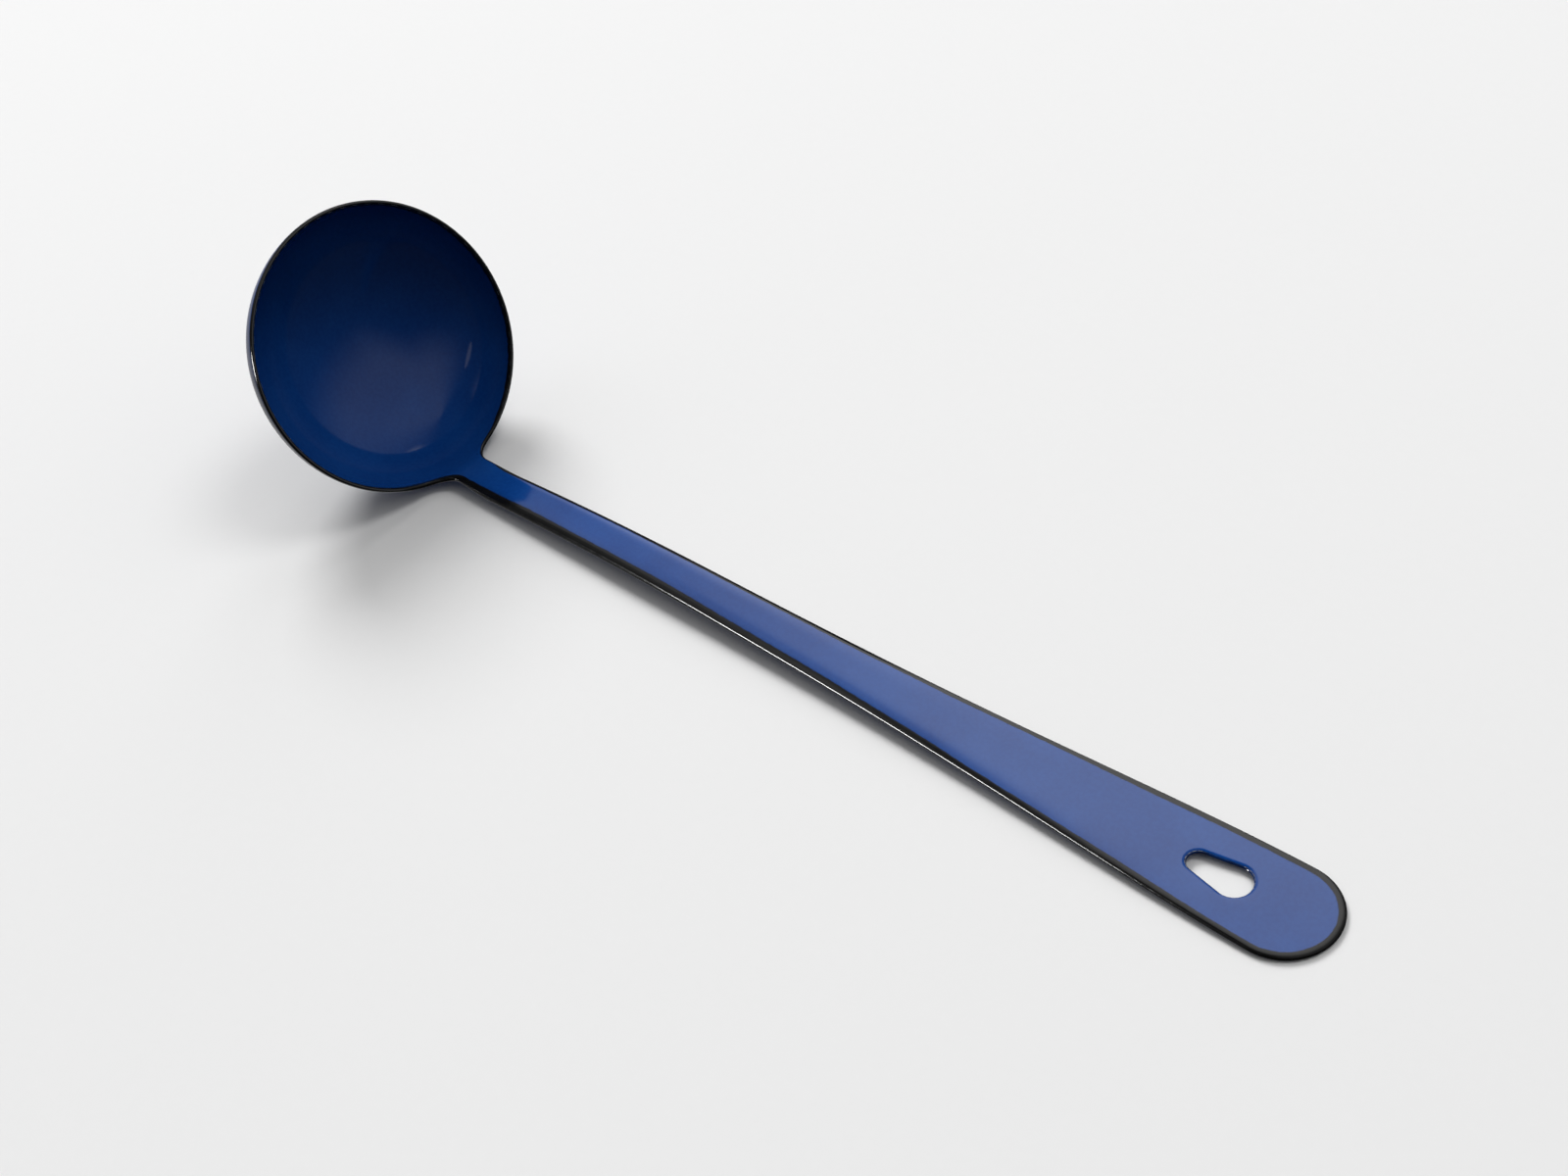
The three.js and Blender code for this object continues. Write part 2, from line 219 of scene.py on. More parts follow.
# The edge's outline on one side: an elliptical fillet at the neck, the taper, the round end. Each
# point keeps the direction in which the outline faces away from the metal.
def sideOutline():
    filletTurn = np.linspace(0, np.pi / 2, edge["filletPoints"], endpoint=False)
    filletAlong = pressing["filletAlong"] * (1 - np.cos(filletTurn))
    filletAcross = pressing["neckWidth"] / 2 + pressing["filletAcross"] * (1 - np.sin(filletTurn))
    outAlong = np.cos(filletTurn) / pressing["filletAlong"]
    filletOut = np.stack([outAlong, np.sin(filletTurn) / pressing["filletAcross"]])
    taperAlong = np.linspace(pressing["filletAlong"], tipCentre, edge["taperPoints"], endpoint=False)
    slope = (halfWidth(taperAlong + slopeStep) - halfWidth(taperAlong - slopeStep)) / (2 * slopeStep)
    taperOut = np.stack([-slope, np.ones_like(slope)])
    tipTurn = np.linspace(0, np.pi / 2, edge["tipPoints"])
    tipAlong = tipCentre + tipRadius * np.sin(tipTurn)
    along = np.concatenate([filletAlong, taperAlong, tipAlong])
    across = np.concatenate([filletAcross, halfWidth(taperAlong), tipRadius * np.cos(tipTurn)])
    out = np.concatenate([filletOut, taperOut, np.stack([np.sin(tipTurn), np.cos(tipTurn)])], 1)
    return along, across, out / np.linalg.norm(out, axis=0)


edgeAlong, edgeAcross, edgeOut = sideOutline()
cornerAcross = edgeAcross[0]


# The outline moved into the metal: each point goes back by the inset from where it faces.
def insetEdge(inset):
    return edgeAlong - inset * edgeOut[0], edgeAcross - inset * edgeOut[1]


# The brush left the black thin in the fillet on the +Y side: the share is all there, and eases to
# nothing over a length past it, along the shank or round the lip.
def thinShank(along, across):
    past = np.where(across > 0, along - pressing["filletAlong"], np.inf)
    return 1 - smoothStep(past, 0, edge["thinLength"])


def thinLip(point):
    past = np.where(np.minimum(point[..., 0], point[..., 1]) > 0, point[..., 1] - cornerAcross, np.inf)
    return 1 - smoothStep(past, 0, edge["thinLength"])


# The lip's azimuths at each inset run from the fillet on the +Y side round to the other fillet.
def rimAzimuth(share, inset):
    ring = bowlRadius * np.sin(lipAngle - inset / lipSpeed)
    corner = np.arcsin(cornerAcross / ring)
    return corner + (2 * np.pi - 2 * corner) * share


# The hanging hole: two circles and their tangents. Its loop runs from the end nearest the tip, and
# every point keeps the direction in which the hole's outline faces the metal.
hole = {
    "length": 18.7,
    "width": 10.2,
    "narrowWidth": 6.4,
    "fromEnd": 24.9,
    "margin": 6.0,
    "arcPoints": 400,
    "cover": 0.35,
    "lipRound": 1.2,
    "lipSteps": 10,
    # The lip's small distance and its fade mix black into the blue round the hole: painted shade.
    "lipDistance": 0.6,
    "lipFade": 1.5,
}
bigRadius = hole["width"] / 2
smallRadius = hole["narrowWidth"] / 2
bigCentre = pressing["handleLength"] - hole["fromEnd"] - bigRadius
smallCentre = bigCentre - (hole["length"] - bigRadius - smallRadius)
blockStart = smallCentre - smallRadius - hole["margin"]


def holeLoop(count):
    tangent = math.acos((smallRadius - bigRadius) / (bigCentre - smallCentre))
    turns = [0, tangent, 2 * np.pi - tangent, 2 * np.pi]
    facing = np.concatenate([np.linspace(*arc, hole["arcPoints"]) for arc in zip(turns, turns[1:])])
    big = np.abs(np.arange(facing.size) - facing.size / 2 + 0.5) > hole["arcPoints"] / 2
    radius = np.where(big, bigRadius, smallRadius)
    along = np.where(big, bigCentre, smallCentre) + radius * np.cos(facing)
    across = radius * np.sin(facing)
    walked = np.concatenate([[0], np.cumsum(np.hypot(np.diff(along), np.diff(across)))])
    places = np.linspace(0, walked[-1], count, endpoint=False)
    turned = np.interp(places, walked, facing)
    loop = np.stack([np.interp(places, walked, along), np.interp(places, walked, across)])
    return loop, np.stack([np.cos(turned), np.sin(turned)])


# The quarter ellipse of the hole's lip: the offset from the middle of the sheet at an inset.
def lipOffset(inset):
    short = np.clip(1 - inset / hole["lipRound"], 0, 1)
    return halfSheet * np.sqrt(1 - short ** 2)


# A patch is a grid of points, with its distance from the black edge at each point. Its faces join each
# point with the next in its row and the two beside them in the next row.
def patchFaces(rows, columns, wrap, start):
    steps = columns if wrap else columns - 1
    row, column = np.meshgrid(np.arange(rows - 1) * columns, np.arange(steps), indexing="ij")
    after = (column + 1) % columns
    corners = [row + column, row + after, row + columns + after, row + columns + column]
    return np.stack(corners, -1).reshape(-1, 4) + start


# A piece joins its patches: points closer than the weld, in metres, become one, faces turn outward,
# and edges sharper than the angle stay sharp.
meshing = {
    "weld": 2e-7,
    "sharpAngle": 50,
}


def buildPiece(name, patches, caps=()):
    points, faces, distances, count = [], [], [], 0
    for patch in patches:
        rows, columns = patch["points"].shape[:2]
        quads = patchFaces(rows, columns, patch.get("wrap", False), count)
        faces.append(quads[:, ::-1] if patch.get("flip") else quads)
        points.append(layDown(patch["points"].reshape(-1, 3)))
        distances.append(np.broadcast_to(patch.get("distance", 0.0), (rows, columns)).reshape(-1))
        count += rows * columns
    mesh = bpy.data.meshes.new(name)
    mesh.from_pydata(np.concatenate(points), [], np.concatenate(faces).tolist() + list(caps))
    layer = mesh.attributes.new("edgeDistance", "FLOAT", "POINT")
    layer.data.foreach_set("value", np.concatenate(distances).astype(np.float32))
    work = bmesh.new()
    work.from_mesh(mesh)
    bmesh.ops.remove_doubles(work, verts=work.verts, dist=meshing["weld"])
    bmesh.ops.recalc_face_normals(work, faces=work.faces)
    work.to_mesh(mesh)
    work.free()
    mesh.polygons.foreach_set("use_smooth", np.ones(len(mesh.polygons), bool))
    mesh.set_sharp_from_angle(angle=math.radians(meshing["sharpAngle"]))
    piece = bpy.data.objects.new(name, mesh)
    bpy.context.scene.collection.objects.link(piece)
    print("piece", name, len(mesh.vertices), "points", len(mesh.polygons), "faces")
    return piece


# The blue coats: one skin over the bowl, the neck, the shank and the end round the hole.
coats = {
    "bowlRings": 72,
    "acrossPoints": 25,
    "endRings": 10,
}


# The skin's patches on the sheet's middle surface, inside the black edge: rings of the bowl up to the
# lip, rows across the neck and the shank, rings from the end's outline in to the hole, and the rings of
# the hole's lip. Each distance is that from the black band plus the brush's lead. The hole's lip has a
# small one of its own, which grows away from the hole, so that the lip goes dark: painted shade round
# the hole.
def skinPatches():
    band = edge["bandWidth"]
    inAlong, inAcross = insetEdge(band)
    rowCount = int(np.searchsorted(inAlong[: edge["filletPoints"] + edge["taperPoints"]], blockStart))
    spread = np.linspace(-1, 1, coats["acrossPoints"])
    rowAlong = inAlong[:rowCount, None]
    rowAcross = inAcross[:rowCount, None] * spread
    rowPoint, rowNormal = sheetStation(rowAlong, rowAcross)
    rowDistance = inAcross[:rowCount, None] * (1 - np.abs(spread))
    rowDistance += edge["thinLead"] * thinShank(rowAlong, rowAcross)

    topAngle = lipAngle - band / lipSpeed
    rimShare = np.linspace(0, 1, edge["rimPoints"])[1:-1]
    neckAzimuth = np.arcsin(rowAcross[0] / (bowlRadius * math.sin(topAngle)))
    azimuth = np.concatenate([neckAzimuth, rimAzimuth(rimShare, band)])
    angle = np.linspace(0, topAngle, coats["bowlRings"])[:, None]
    bowlPoint, bowlNormal = bowlStation(angle, azimuth)
    beside = np.maximum(cornerAcross - np.abs(bowlPoint[..., 1]), 0) * (bowlPoint[..., 0] > 0)
    lead = edge["rimSkew"] * bowlPoint[..., 1] / bowlRadius + edge["thinLead"] * thinLip(bowlPoint)
    bowlDistance = np.hypot(lipSpeed * (topAngle - angle), beside) + lead

    side = slice(rowCount, None)
    endAlong, endAcross = inAlong[side], inAcross[side]
    crossAlong = np.full(spread.size, inAlong[rowCount - 1])
    outlineAlong = np.concatenate([endAlong[::-1], crossAlong, endAlong[:-1]])
    outlineAcross = np.concatenate([endAcross[::-1], rowAcross[-1][::-1], -endAcross[:-1]])
    outline = np.stack([outlineAlong, outlineAcross])
    loop, facing = holeLoop(outline.shape[1])
    inner = loop + hole["lipRound"] * facing
    share = np.linspace(0, 1, coats["endRings"])[:, None, None]
    flat = outline + (inner - outline) * share
    flatPoint, flatNormal = sheetStation(flat[:, 0], flat[:, 1])
    sideDistance = halfWidth(flat[:, 0]) - np.abs(flat[:, 1])
    tipDistance = tipRadius - np.hypot(flat[:, 0] - tipCentre, flat[:, 1])
    flatDistance = np.where(flat[:, 0] < tipCentre, sideDistance, tipDistance) - band

    lipInset = np.linspace(hole["lipRound"], hole["cover"], hole["lipSteps"])[:, None, None]
    lip = loop + lipInset * facing
    # The small distance near the hole mixes black into the blue there: painted shade.
    lipDistance = hole["lipDistance"] + hole["lipFade"] * (lipInset[:, 0, :] - hole["cover"])
    lipPoint, lipNormal = sheetStation(lip[:, 0], lip[:, 1])
    rounded = lipOffset(lipInset[:, 0, :])
    return [
        {"point": bowlPoint, "normal": bowlNormal, "distance": bowlDistance, "wrap": True},
        {"point": rowPoint, "normal": rowNormal, "distance": rowDistance},
        {"point": flatPoint, "normal": flatNormal, "distance": flatDistance, "wrap": True},
        {"point": lipPoint, "normal": lipNormal, "distance": lipDistance, "wrap": True, "offset": rounded},
    ]


skins = skinPatches()


# A coat has its outer face, which rounds down into the hole, its back on the steel, and the walls
# that close it along the black edge and the hole.
def makeCoat(name, side):
    patches = []
    for skin in skins:
        outer = np.broadcast_to(skin.get("offset", halfSheet), skin["point"].shape[:2])[..., None]
        shared = {"distance": skin["distance"], "wrap": skin.get("wrap", False)}
        patches.append({"points": skin["point"] + side * outer * skin["normal"], **shared})
        patches.append({"points": skin["point"] + side * halfSteel * skin["normal"], "flip": True, **shared})
    bowl, rows, end, lip = skins
    neckPoints = coats["acrossPoints"]
    aroundRim = np.roll(np.arange(bowl["point"].shape[1]), 1 - neckPoints)[: edge["rimPoints"]]
    walls = [
        (bowl["point"][-1][aroundRim], bowl["normal"][-1][aroundRim], halfSheet),
        (rows["point"][:, 0], rows["normal"][:, 0], halfSheet),
        (rows["point"][:, -1], rows["normal"][:, -1], halfSheet),
    ]
    endCount = (end["point"].shape[1] - neckPoints + 1) // 2
    roundEnd = np.roll(np.arange(end["point"].shape[1]), endCount)[: 2 * endCount + 1]
    walls.append((end["point"][0][roundEnd], end["normal"][0][roundEnd], halfSheet))
    closed = np.append(np.arange(lip["point"].shape[1]), 0)
    walls.append((lip["point"][-1][closed], lip["normal"][-1][closed], lipOffset(hole["cover"])))
    for point, normal, outer in walls:
        strip = np.stack([point + side * outer * normal, point + side * halfSteel * normal])
        patches.append({"points": strip})
    return buildPiece(name, patches)


insideBlue = makeCoat("insideBlue", 1)
outsideBlue = makeCoat("outsideBlue", -1)


# The black edge's section: a half ellipse for its nose, whose reach may differ from row to row, flat
# bands on both faces, and a channel on the steel.
def edgeSection(reach):
    nose = np.linspace(-np.pi / 2, np.pi / 2, edge["nosePoints"])
    band, cover = edge["bandWidth"], edge["cover"]
    rounded = reach * (1 - np.cos(nose))
    flat = np.array([band, band, cover, cover, band, band])
    inset = np.concatenate([rounded, np.broadcast_to(flat, (*rounded.shape[:-1], flat.size))], -1)
    channel = [halfSheet, halfSteel, halfSteel, -halfSteel, -halfSteel, -halfSheet]
    return inset, np.concatenate([halfSheet * np.sin(nose), channel])


# Each point of the section leaves the sheet's middle surface by its offset along the normal.
def sweepPatch(point, normal, offset):
    points = point + offset[None, :, None] * normal
    return np.concatenate([points, points[:, :1]], 1)


# The inset from the cut edge: all of it on the outer face, and the thin share of it on the inner.
def paintedInset(inset, offset, thin):
    painted = np.where(offset < 0, inset, inset * thin)
    return np.concatenate([painted, painted[..., :1]], -1)


# One flat face closes each end of a swept section.
def endCaps(rows, columns):
    first = list(range(columns - 1))
    last = [(rows - 1) * columns + column for column in first]
    return [first, last[::-1]]


# The rim follows the lip, and its nose is rounder than the handle's away from the fillets. On the crest
# of the nose the distance falls below nothing, which marks where the paler grey highlight line is painted.
def makeRimEdge():
    share = np.linspace(0, 1, edge["rimPoints"])[:, None]
    eased = smoothStep(np.minimum(share, 1 - share), 0, edge["rimEase"])
    inset, offset = edgeSection(halfSheet + (edge["rimNose"] - halfSheet) * eased)
    point, normal = bowlStation(lipAngle - inset / lipSpeed, rimAzimuth(share, inset))
    points = sweepPatch(point, normal, offset)
    # The crest lowers the distance where the paler grey highlight line is painted.
    crest = np.clip(1 - np.abs(offset) / (edge["crestShare"] * halfSheet), 0, 1)
    painted = paintedInset(inset, offset, thinLip(point)) - np.append(crest, crest[0]) * eased
    return buildPiece("rimBlack", [{"points": points, "distance": painted}], endCaps(*points.shape[:2]))


# The handle's edge follows one side of the outline to the tip, and the other side back.
def makeHandleEdge():
    inset, offset = edgeSection(halfSheet)
    along = edgeAlong[:, None] - inset * edgeOut[0][:, None]
    across = edgeAcross[:, None] - inset * edgeOut[1][:, None]
    along = np.concatenate([along, along[-2::-1]])
    across = np.concatenate([-across, across[-2::-1]])
    point, normal = sheetStation(along, across)
    points = sweepPatch(point, normal, offset)
    painted = paintedInset(inset, offset, thinShank(along, across))
    return buildPiece("handleBlack", [{"points": points, "distance": painted}], endCaps(*points.shape[:2]))


# The hole's lining carries on the lip's quarter ellipses round the cut edge of the steel.
def makeLining():
    loop, facing = holeLoop(skins[-1]["point"].shape[1])
    reach = math.acos(1 - hole["cover"] / hole["lipRound"])
    nose = np.linspace(-reach, reach, edge["nosePoints"])
    inset = np.concatenate([hole["lipRound"] * (1 - np.cos(nose)), [hole["cover"]] * 2])
    offset = np.concatenate([halfSheet * np.sin(nose), [halfSteel, -halfSteel]])
    along = loop[0][:, None] + inset * facing[0][:, None]
    across = loop[1][:, None] + inset * facing[1][:, None]
    point, normal = sheetStation(along, across)
    points = sweepPatch(point, normal, offset)
    # Its small distance mixes black into the blue: painted shade on the hole's wall.
    lining = {"points": np.concatenate([points, points[:1]]), "distance": hole["lipDistance"]}
    return buildPiece("liningBlue", [lining])


rimBlack = makeRimEdge()
handleBlack = makeHandleEdge()
liningBlue = makeLining()

stands = {
    "inside_enamel": (insideBlue, "inside_blue"),
    "outside_enamel": (outsideBlue, "outside_blue"),
    "bowl_rim_edge": (rimBlack, "rim_black"),
    "handle_edge": (handleBlack, "handle_black"),
    "hole_lining": (liningBlue, "lining_blue"),
}
for node, (piece, slot) in stands.items():
    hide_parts(node)
    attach(piece, "root")
print("pieces ride on root:", len(stands))


# One socket of a node tree. Sums, differences and products of sockets add Math nodes, and the node
# method adds any other node: its settings are set first, then its sockets are filled in or linked.
class Wire:
    def __init__(self, tree, socket=None):
        self.tree = tree
        self.socket = socket

    def node(self, kind, settings, inputs, output=0):
        made = self.tree.nodes.new(kind)
        for name, setting in settings.items():
            setattr(made, name, setting)
        for name, given in inputs.items():
            if isinstance(given, Wire):
                self.tree.links.new(given.socket, made.inputs[name])
            else:
                made.inputs[name].default_value = given
        return Wire(self.tree, made.outputs[output] if made.outputs else None)

    def worked(self, operation, first, second):
        return self.node("ShaderNodeMath", {"operation": operation}, {0: first, 1: second})

    def __add__(self, other):
        return self.worked("ADD", self, other)

    def __radd__(self, other):
        return self.worked("ADD", other, self)

    def __sub__(self, other):
        return self.worked("SUBTRACT", self, other)

    def __mul__(self, other):
        return self.worked("MULTIPLY", self, other)

    def __rmul__(self, other):
        return self.worked("MULTIPLY", other, self)

    # Eases from 0 at low to 1 at high, and the other way round when low is the larger.
    def eased(self, low, high):
        inputs = {"Value": self, "From Min": low, "From Max": high}
        return self.node("ShaderNodeMapRange", {"interpolation_type": "SMOOTHSTEP"}, inputs)

    # A Mix node takes its colours in sockets 6 and 7 and gives its colour in socket 2.
    def blended(self, share, first, second):
        return self.node("ShaderNodeMix", {"data_type": "RGBA"}, {0: share, 6: first, 7: second}, 2)

    def noise(self, place, scale, detail):
        inputs = {"Vector": place, "Scale": scale, "Detail": detail}
        return self.node("ShaderNodeTexNoise", {}, inputs, "Fac")


def newFinish(name):
    material = bpy.data.materials.new(name)
    material.use_nodes = True
    material.node_tree.nodes.clear()
    return material, Wire(material.node_tree)


# A glazed or bare surface: the shader takes its linked and fixed values, and the height its bump.
def surface(start, inputs, height, depth):
    bump = start.node("ShaderNodeBump", {}, {"Strength": 1.0, "Distance": depth, "Height": height})
    return start.node("ShaderNodeBsdfPrincipled", {}, {**inputs, "Normal": bump})


def closeFinish(start, shader):
    start.node("ShaderNodeOutputMaterial", {}, {"Surface": shader})


# A glaze over a colour: its roughness shifts with a grain, and a slow wave lies under its shine. In the
# looks that follow, a noise is its scale and its detail, and a range is where it eases from 0 to 1.
def glaze(start, place, look, colour):
    roughness = look["roughness"] + look["roughnessShift"] * start.noise(place, *look["grain"])
    inputs = {"Base Color": colour, "Roughness": roughness, "IOR": look["ior"]}
    return surface(start, inputs, start.noise(place, *look["wave"]), look["waveDepth"])


# Black edge enamel: brushed on thick, so it is a little duller and wavier than the blue. A paler grey is
# painted along the crest of the bowl's rim, where the distance is below nothing: a painted highlight line,
# partly wear.
blackEnamel = {
    "deep": (0.0035, 0.0035, 0.0038, 1),
    "pale": (0.0080, 0.0079, 0.0077, 1),
    # The worn sheen is the paler grey painted on the rim's crest as a highlight line, partly wear.
    "wornSheen": (0.060, 0.062, 0.065, 1),
    "ior": 1.34,
    "cloud": (160.0, 4.0),
    "cloudRange": (0.3, 0.7),
    "wornSheenRange": (-0.2, -0.8),
    "roughness": 0.08,
    "roughnessShift": 0.08,
    "grain": (420.0, 3.0),
    "wave": (130.0, 2.0),
    "waveDepth": 0.00004,
}


def blackSurface(start, place, distance):
    look = blackEnamel
    cloud = start.noise(place, *look["cloud"]).eased(*look["cloudRange"])
    colour = start.blended(cloud, look["deep"], look["pale"])
    # Paints the paler grey highlight line along the rim's crest.
    colour = start.blended(distance.eased(*look["wornSheenRange"]), colour, look["wornSheen"])
    return glaze(start, place, look, colour)


# Fired blue enamel: cobalt with slow cloudy shifts and a fine mottle, and a few pin specks.
blueEnamel = {
    "deep": (0.0030, 0.0400, 0.2050, 1),
    "pale": (0.0065, 0.0580, 0.2600, 1),
    "speck": (0.0600, 0.1100, 0.2400, 1),
    "ior": 1.4,
    "cloud": (38.0, 3.0),
    "cloudRange": (0.3, 0.7),
    "cloudShare": 0.7,
    "mottle": (900.0, 2.0),
    "mottleRange": (0.35, 0.65),
    "mottleShare": 0.3,
    "speckScale": 160.0,
    "speckRange": (0.05, 0.03),
    "speckShare": 0.5,
    "rare": (75.0, 1.0),
    "rareRange": (0.66, 0.7),
    "roughness": 0.05,
    "roughnessShift": 0.05,
    "grain": (140.0, 4.0),
    "wave": (55.0, 1.0),
    "waveDepth": 0.00006,
}


def blueSurface(start, place, dark):
    look = blueEnamel
    cloud = start.noise(place, *look["cloud"]).eased(*look["cloudRange"])
    mottle = start.noise(place, *look["mottle"]).eased(*look["mottleRange"])
    shift = cloud * look["cloudShare"] + mottle * look["mottleShare"]
    colour = start.blended(shift * (1 - dark), look["deep"], look["pale"])
    cells = {"Vector": place, "Scale": look["speckScale"]}
    spot = start.node("ShaderNodeTexVoronoi", {}, cells, "Distance").eased(*look["speckRange"])
    rare = start.noise(place, *look["rare"]).eased(*look["rareRange"])
    colour = start.blended(spot * rare * look["speckShare"], colour, look["speck"])
    return glaze(start, place, look, colour)


# The hand-brushed line between the two: black reaches this many millimetres past each piece's own
# start of distance, give or take a slow wander and a fine tremble.
brushLine = {
    "insideCoat": 0.55,
    "outsideCoat": -1.5,
    "edge": 0.85,
    "softness": 0.2,
    "wander": 1.1,
    "wanderNoise": (18.0, 1.0),
    "tremble": 0.4,
    "trembleNoise": (330.0, 3.0),
}


def makeEnamel(name, reach, dark):
    look = brushLine
    material, start = newFinish(name)
    place = start.node("ShaderNodeTexCoord", {}, {}, "Object")
    distance = start.node("ShaderNodeAttribute", {"attribute_name": "edgeDistance"}, {}, "Fac")
    wander = (start.noise(place, *look["wanderNoise"]) - 0.5) * look["wander"]
    tremble = (start.noise(place, *look["trembleNoise"]) - 0.5) * look["tremble"]
    brushed = (distance + wander + tremble).eased(reach + look["softness"], reach - look["softness"])
    black = blackSurface(start, place, distance)
    mixed = {0: brushed, 1: blueSurface(start, place, dark), 2: black}
    closeFinish(start, start.node("ShaderNodeMixShader", {}, mixed))
    return material


# The pressed sheet under the coats: steel with rolling lines drawn out along the handle.
sheetSteel = {
    "dull": (0.28, 0.29, 0.30, 1),
    "bright": (0.42, 0.43, 0.45, 1),
    "lineStretch": (30.0, 1400.0, 1400.0),
    "line": (1.0, 3.0),
    "roughness": 0.35,
    "roughnessShift": 0.2,
    "lineDepth": 0.00001,
}


def makeSteel():
    look = sheetSteel
    material, start = newFinish("sheetSteel")
    place = start.node("ShaderNodeTexCoord", {}, {}, "Object")
    drawn = start.node("ShaderNodeMapping", {}, {"Vector": place, "Scale": look["lineStretch"]})
    line = start.noise(drawn, *look["line"])
    colour = start.blended(line, look["dull"], look["bright"])
    roughness = look["roughness"] + look["roughnessShift"] * line
    inputs = {"Base Color": colour, "Roughness": roughness, "Metallic": 1.0}
    closeFinish(start, surface(start, inputs, line, look["lineDepth"]))
    return material


# The share of the pale blue that a finish leaves out.
darkness = {
    "inside": 0.0,
    "outside": 0.1,
    # The lining's large share darkens the hole's wall: painted shade.
    "lining": 0.6,
}
finishes = {
    insideBlue: makeEnamel("blueEnamelInside", brushLine["insideCoat"], darkness["inside"]),
    outsideBlue: makeEnamel("blueEnamelOutside", brushLine["outsideCoat"], darkness["outside"]),
    liningBlue: makeEnamel("blueEnamelLining", brushLine["insideCoat"], darkness["lining"]),
    rimBlack: makeEnamel("blackEnamelRim", brushLine["edge"], darkness["outside"]),
    handleBlack: makeEnamel("blackEnamelHandle", brushLine["edge"], darkness["outside"]),
    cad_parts["steel_pressing"]: makeSteel(),
}
for piece, material in finishes.items():
    piece.data.materials.clear()
    piece.data.materials.append(material)
print("finishes set:", len(finishes))


# A pale floor out to the horizon, just under the bowl and the handle's end.
floorLook = {
    "colour": (0.80, 0.80, 0.80, 1),
    "fleck": (0.79, 0.79, 0.79, 1),
    "grain": (300.0, 2.0),
    "grainDepth": 0.00001,
    "roughness": 0.9,
    "specular": 0.1,
    "points": 128,
    "radius": 12.0,
    "drop": 0.0001,
}


# The floor is one round face: the radius times the cosine and sine of each turn, a little under the table.
def makeFloor():
    look = floorLook
    around = np.linspace(0, 2 * np.pi, look["points"], endpoint=False)
    level = np.full_like(around, -look["drop"])
    ring = np.stack([np.cos(around) * look["radius"], np.sin(around) * look["radius"], level], -1)
    mesh = bpy.data.meshes.new("floor")
    mesh.from_pydata(ring, [], [list(range(len(ring)))])
    floor = bpy.data.objects.new("floor", mesh)
    bpy.context.scene.collection.objects.link(floor)
    material, start = newFinish("paleFloor")
    place = start.node("ShaderNodeTexCoord", {}, {}, "Object")
    grain = start.noise(place, *look["grain"])
    colour = start.blended(grain, look["colour"], look["fleck"])
    inputs = {"Base Color": colour, "Roughness": look["roughness"], "Specular IOR Level": look["specular"]}
    closeFinish(start, surface(start, inputs, grain, look["grainDepth"]))
    mesh.materials.append(material)
    floor.visible_glossy = False
    floor.visible_diffuse = False


makeFloor()
print("floor laid")


# The studio: a tall soft panel behind the ladle on the left, a wall that glows beside it, a dimmer
# ceiling on the right that rises towards the front, and a low glow for the table. Bearings run from +Y
# towards +X, in degrees, and heights are above the horizon. Each part fades between pairs of them.
studio = {
    "ambient": 0.04,
    "panel": {"glow": 1.75, "bearings": [(-55, -37), (-14, -26)], "heights": [(4, 20), (60, 50)]},
    "wall": {"glow": 1.2, "bearings": [(-168, -112), (-14, -26)], "heights": [(10, 56), (65, 56)]},
    "ceiling": {"glow": 0.52, "bearings": [(-60, 40), (182, 112)], "heights": [(4, 36)]},
    "ceilingRise": {"degrees": 20.0, "bearings": (75, 110)},
    "table": {"glow": 0.4, "bearings": [(-150, -125), (-45, -65)], "heights": [(2, -10)]},
}
# Each lamp has its bearing, height and distance, its power and size, and the rays that don't see it.
lamps = {
    "key": {"at": (-64, 39, 4.5), "power": 140.0, "size": (1.9, 1.9), "glossy": False},
    "top": {"at": (30, 65, 4.5), "power": 42.0, "size": (1.8, 1.8), "glossy": False},
    "strip": {"at": (-149, 12, 3.0), "power": 120.0, "size": (0.62, 0.8), "diffuse": False},
    "slit": {"at": (177, 46, 3.0), "power": 0.4, "size": (0.2, 1.0), "diffuse": False},
}


# A part's glow is multiplied by the fade at each of its pairs.
def fadedPart(name, bearing, height):
    part = studio[name]
    fades = [bearing.eased(*pair) for pair in part["bearings"]]
    fades += [height.eased(*pair) for pair in part["heights"]]
    return math.prod(fades, start=part["glow"])


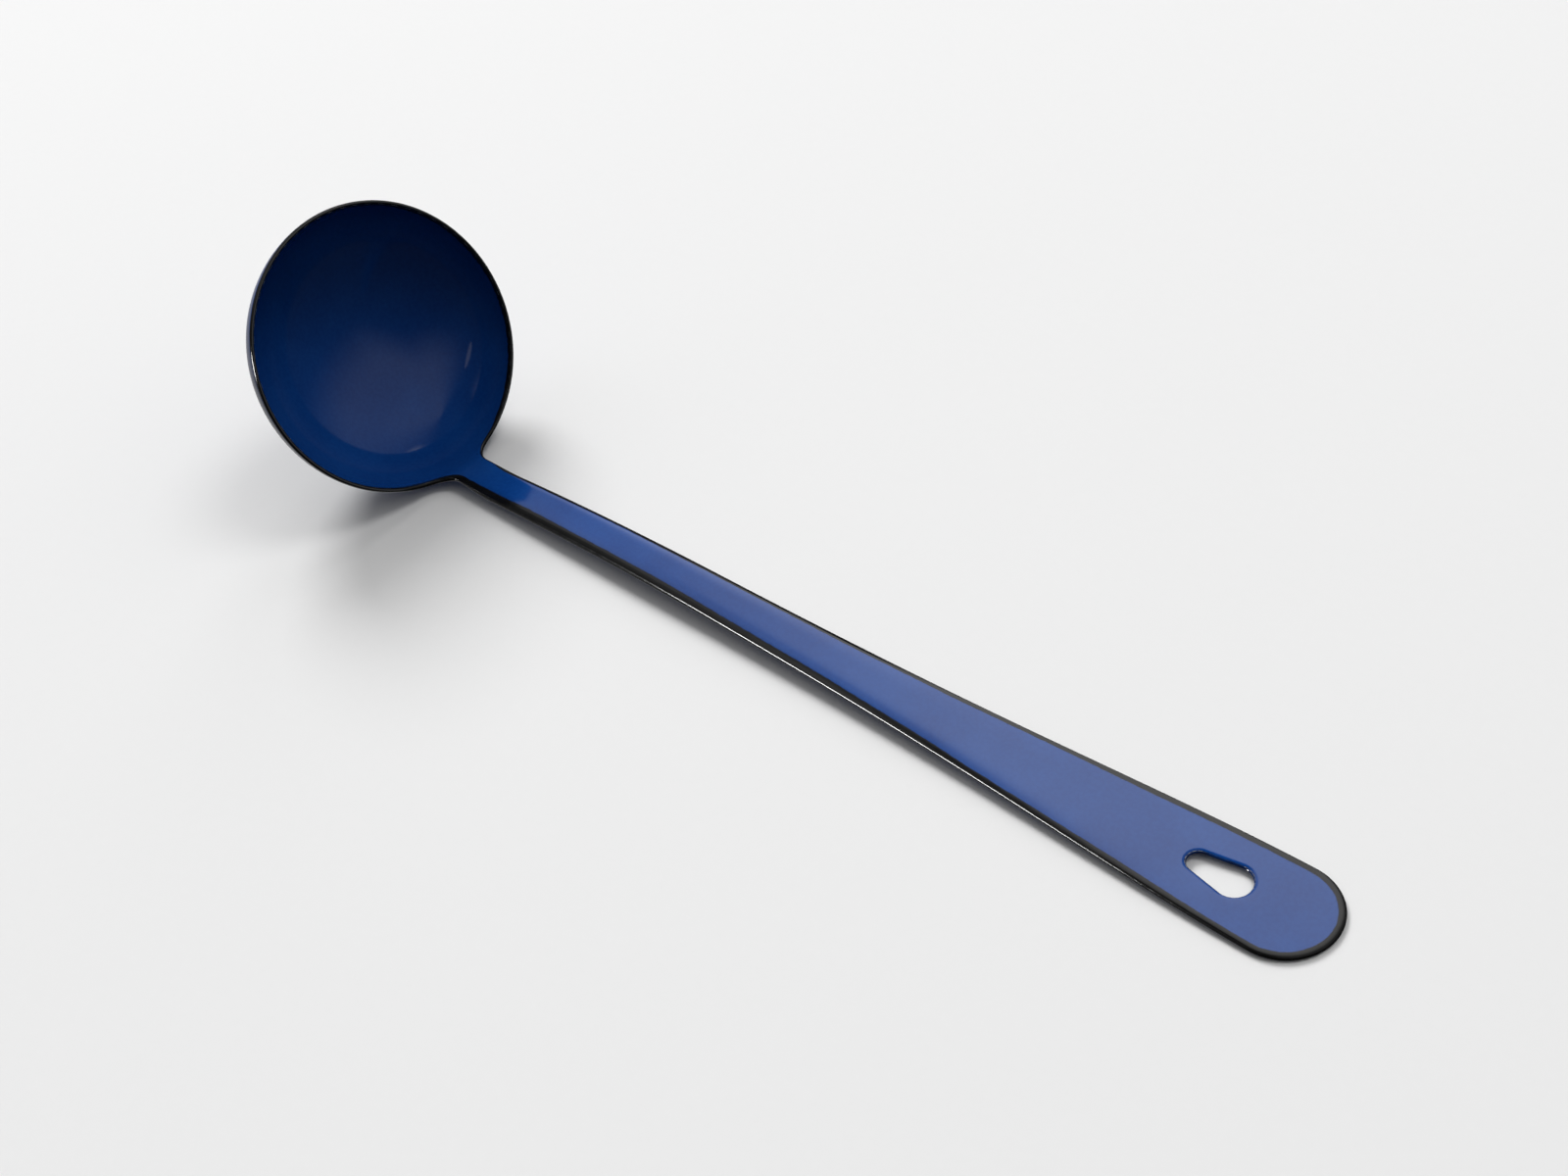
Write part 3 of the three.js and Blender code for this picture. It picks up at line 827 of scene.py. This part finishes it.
def makeStudio():
    world = bpy.data.worlds.new("studio")
    world.use_nodes = True
    world.node_tree.nodes.clear()
    start = Wire(world.node_tree)
    direction = start.node("ShaderNodeTexCoord", {}, {}, "Generated")
    parts = start.node("ShaderNodeSeparateXYZ", {}, {"Vector": direction})
    x, y, z = (Wire(parts.tree, parts.socket.node.outputs[axis]) for axis in "XYZ")
    bearing = start.worked("ARCTAN2", x, y) * math.degrees(1)
    height = start.worked("ARCSINE", z, 0.0) * math.degrees(1)
    rise = studio["ceilingRise"]
    lifted = height - bearing.eased(*rise["bearings"]) * rise["degrees"]
    glow = fadedPart("panel", bearing, height) + fadedPart("wall", bearing, height)
    glow = glow + fadedPart("ceiling", bearing, lifted) + fadedPart("table", bearing, height)
    glow = glow + studio["ambient"]
    light = start.node("ShaderNodeBackground", {}, {"Color": (1, 1, 1, 1), "Strength": glow})
    start.node("ShaderNodeOutputWorld", {}, {"Surface": light})
    bpy.context.scene.world = world


def makeLamp(name, lamp):
    bearing, height = math.radians(lamp["at"][0]), math.radians(lamp["at"][1])
    level = math.cos(height)
    toLamp = Vector((math.sin(bearing) * level, math.cos(bearing) * level, math.sin(height)))
    data = bpy.data.lights.new(name, "AREA")
    data.shape = "ELLIPSE"
    data.size, data.size_y = lamp["size"]
    data.energy = lamp["power"]
    made = bpy.data.objects.new(name, data)
    bpy.context.scene.collection.objects.link(made)
    made.location = toLamp * lamp["at"][2]
    made.rotation_euler = toLamp.to_track_quat("Z", "Y").to_euler()
    made.visible_camera = False
    made.visible_glossy = lamp.get("glossy", True)
    made.visible_diffuse = lamp.get("diffuse", True)


makeStudio()
for name, lamp in lamps.items():
    makeLamp(name, lamp)
bpy.context.scene.view_settings.view_transform = "Standard"
print("studio lit")


# The camera stands off a point on the table, turned and tilted as in the picture and rolled a little.
camera = {
    "target": (-0.01103, 0.0182, -0.00011),
    "azimuth": 47.82,
    "elevation": 42.49,
    "roll": -9.35,
    "distance": 0.7152,
    "lens": 56.25,
    "sensor": 36,
    "nearest": 0.01,
}


def makeCamera():
    turned = math.radians(camera["azimuth"])
    raised = math.radians(camera["elevation"])
    level = math.cos(raised)
    back = Vector((math.sin(turned) * level, -math.cos(turned) * level, math.sin(raised)))
    data = bpy.data.cameras.new("camera")
    data.lens = camera["lens"]
    data.sensor_width = camera["sensor"]
    data.clip_start = camera["nearest"]
    eye = bpy.data.objects.new("camera", data)
    bpy.context.scene.collection.objects.link(eye)
    aim = back.to_track_quat("Z", "Y").to_matrix().to_4x4()
    roll = Matrix.Rotation(math.radians(camera["roll"]), 4, "Z")
    place = Matrix.Translation(Vector(camera["target"]) + camera["distance"] * back)
    eye.matrix_world = place @ aim @ roll
    bpy.context.scene.camera = eye


makeCamera()
print("camera set")
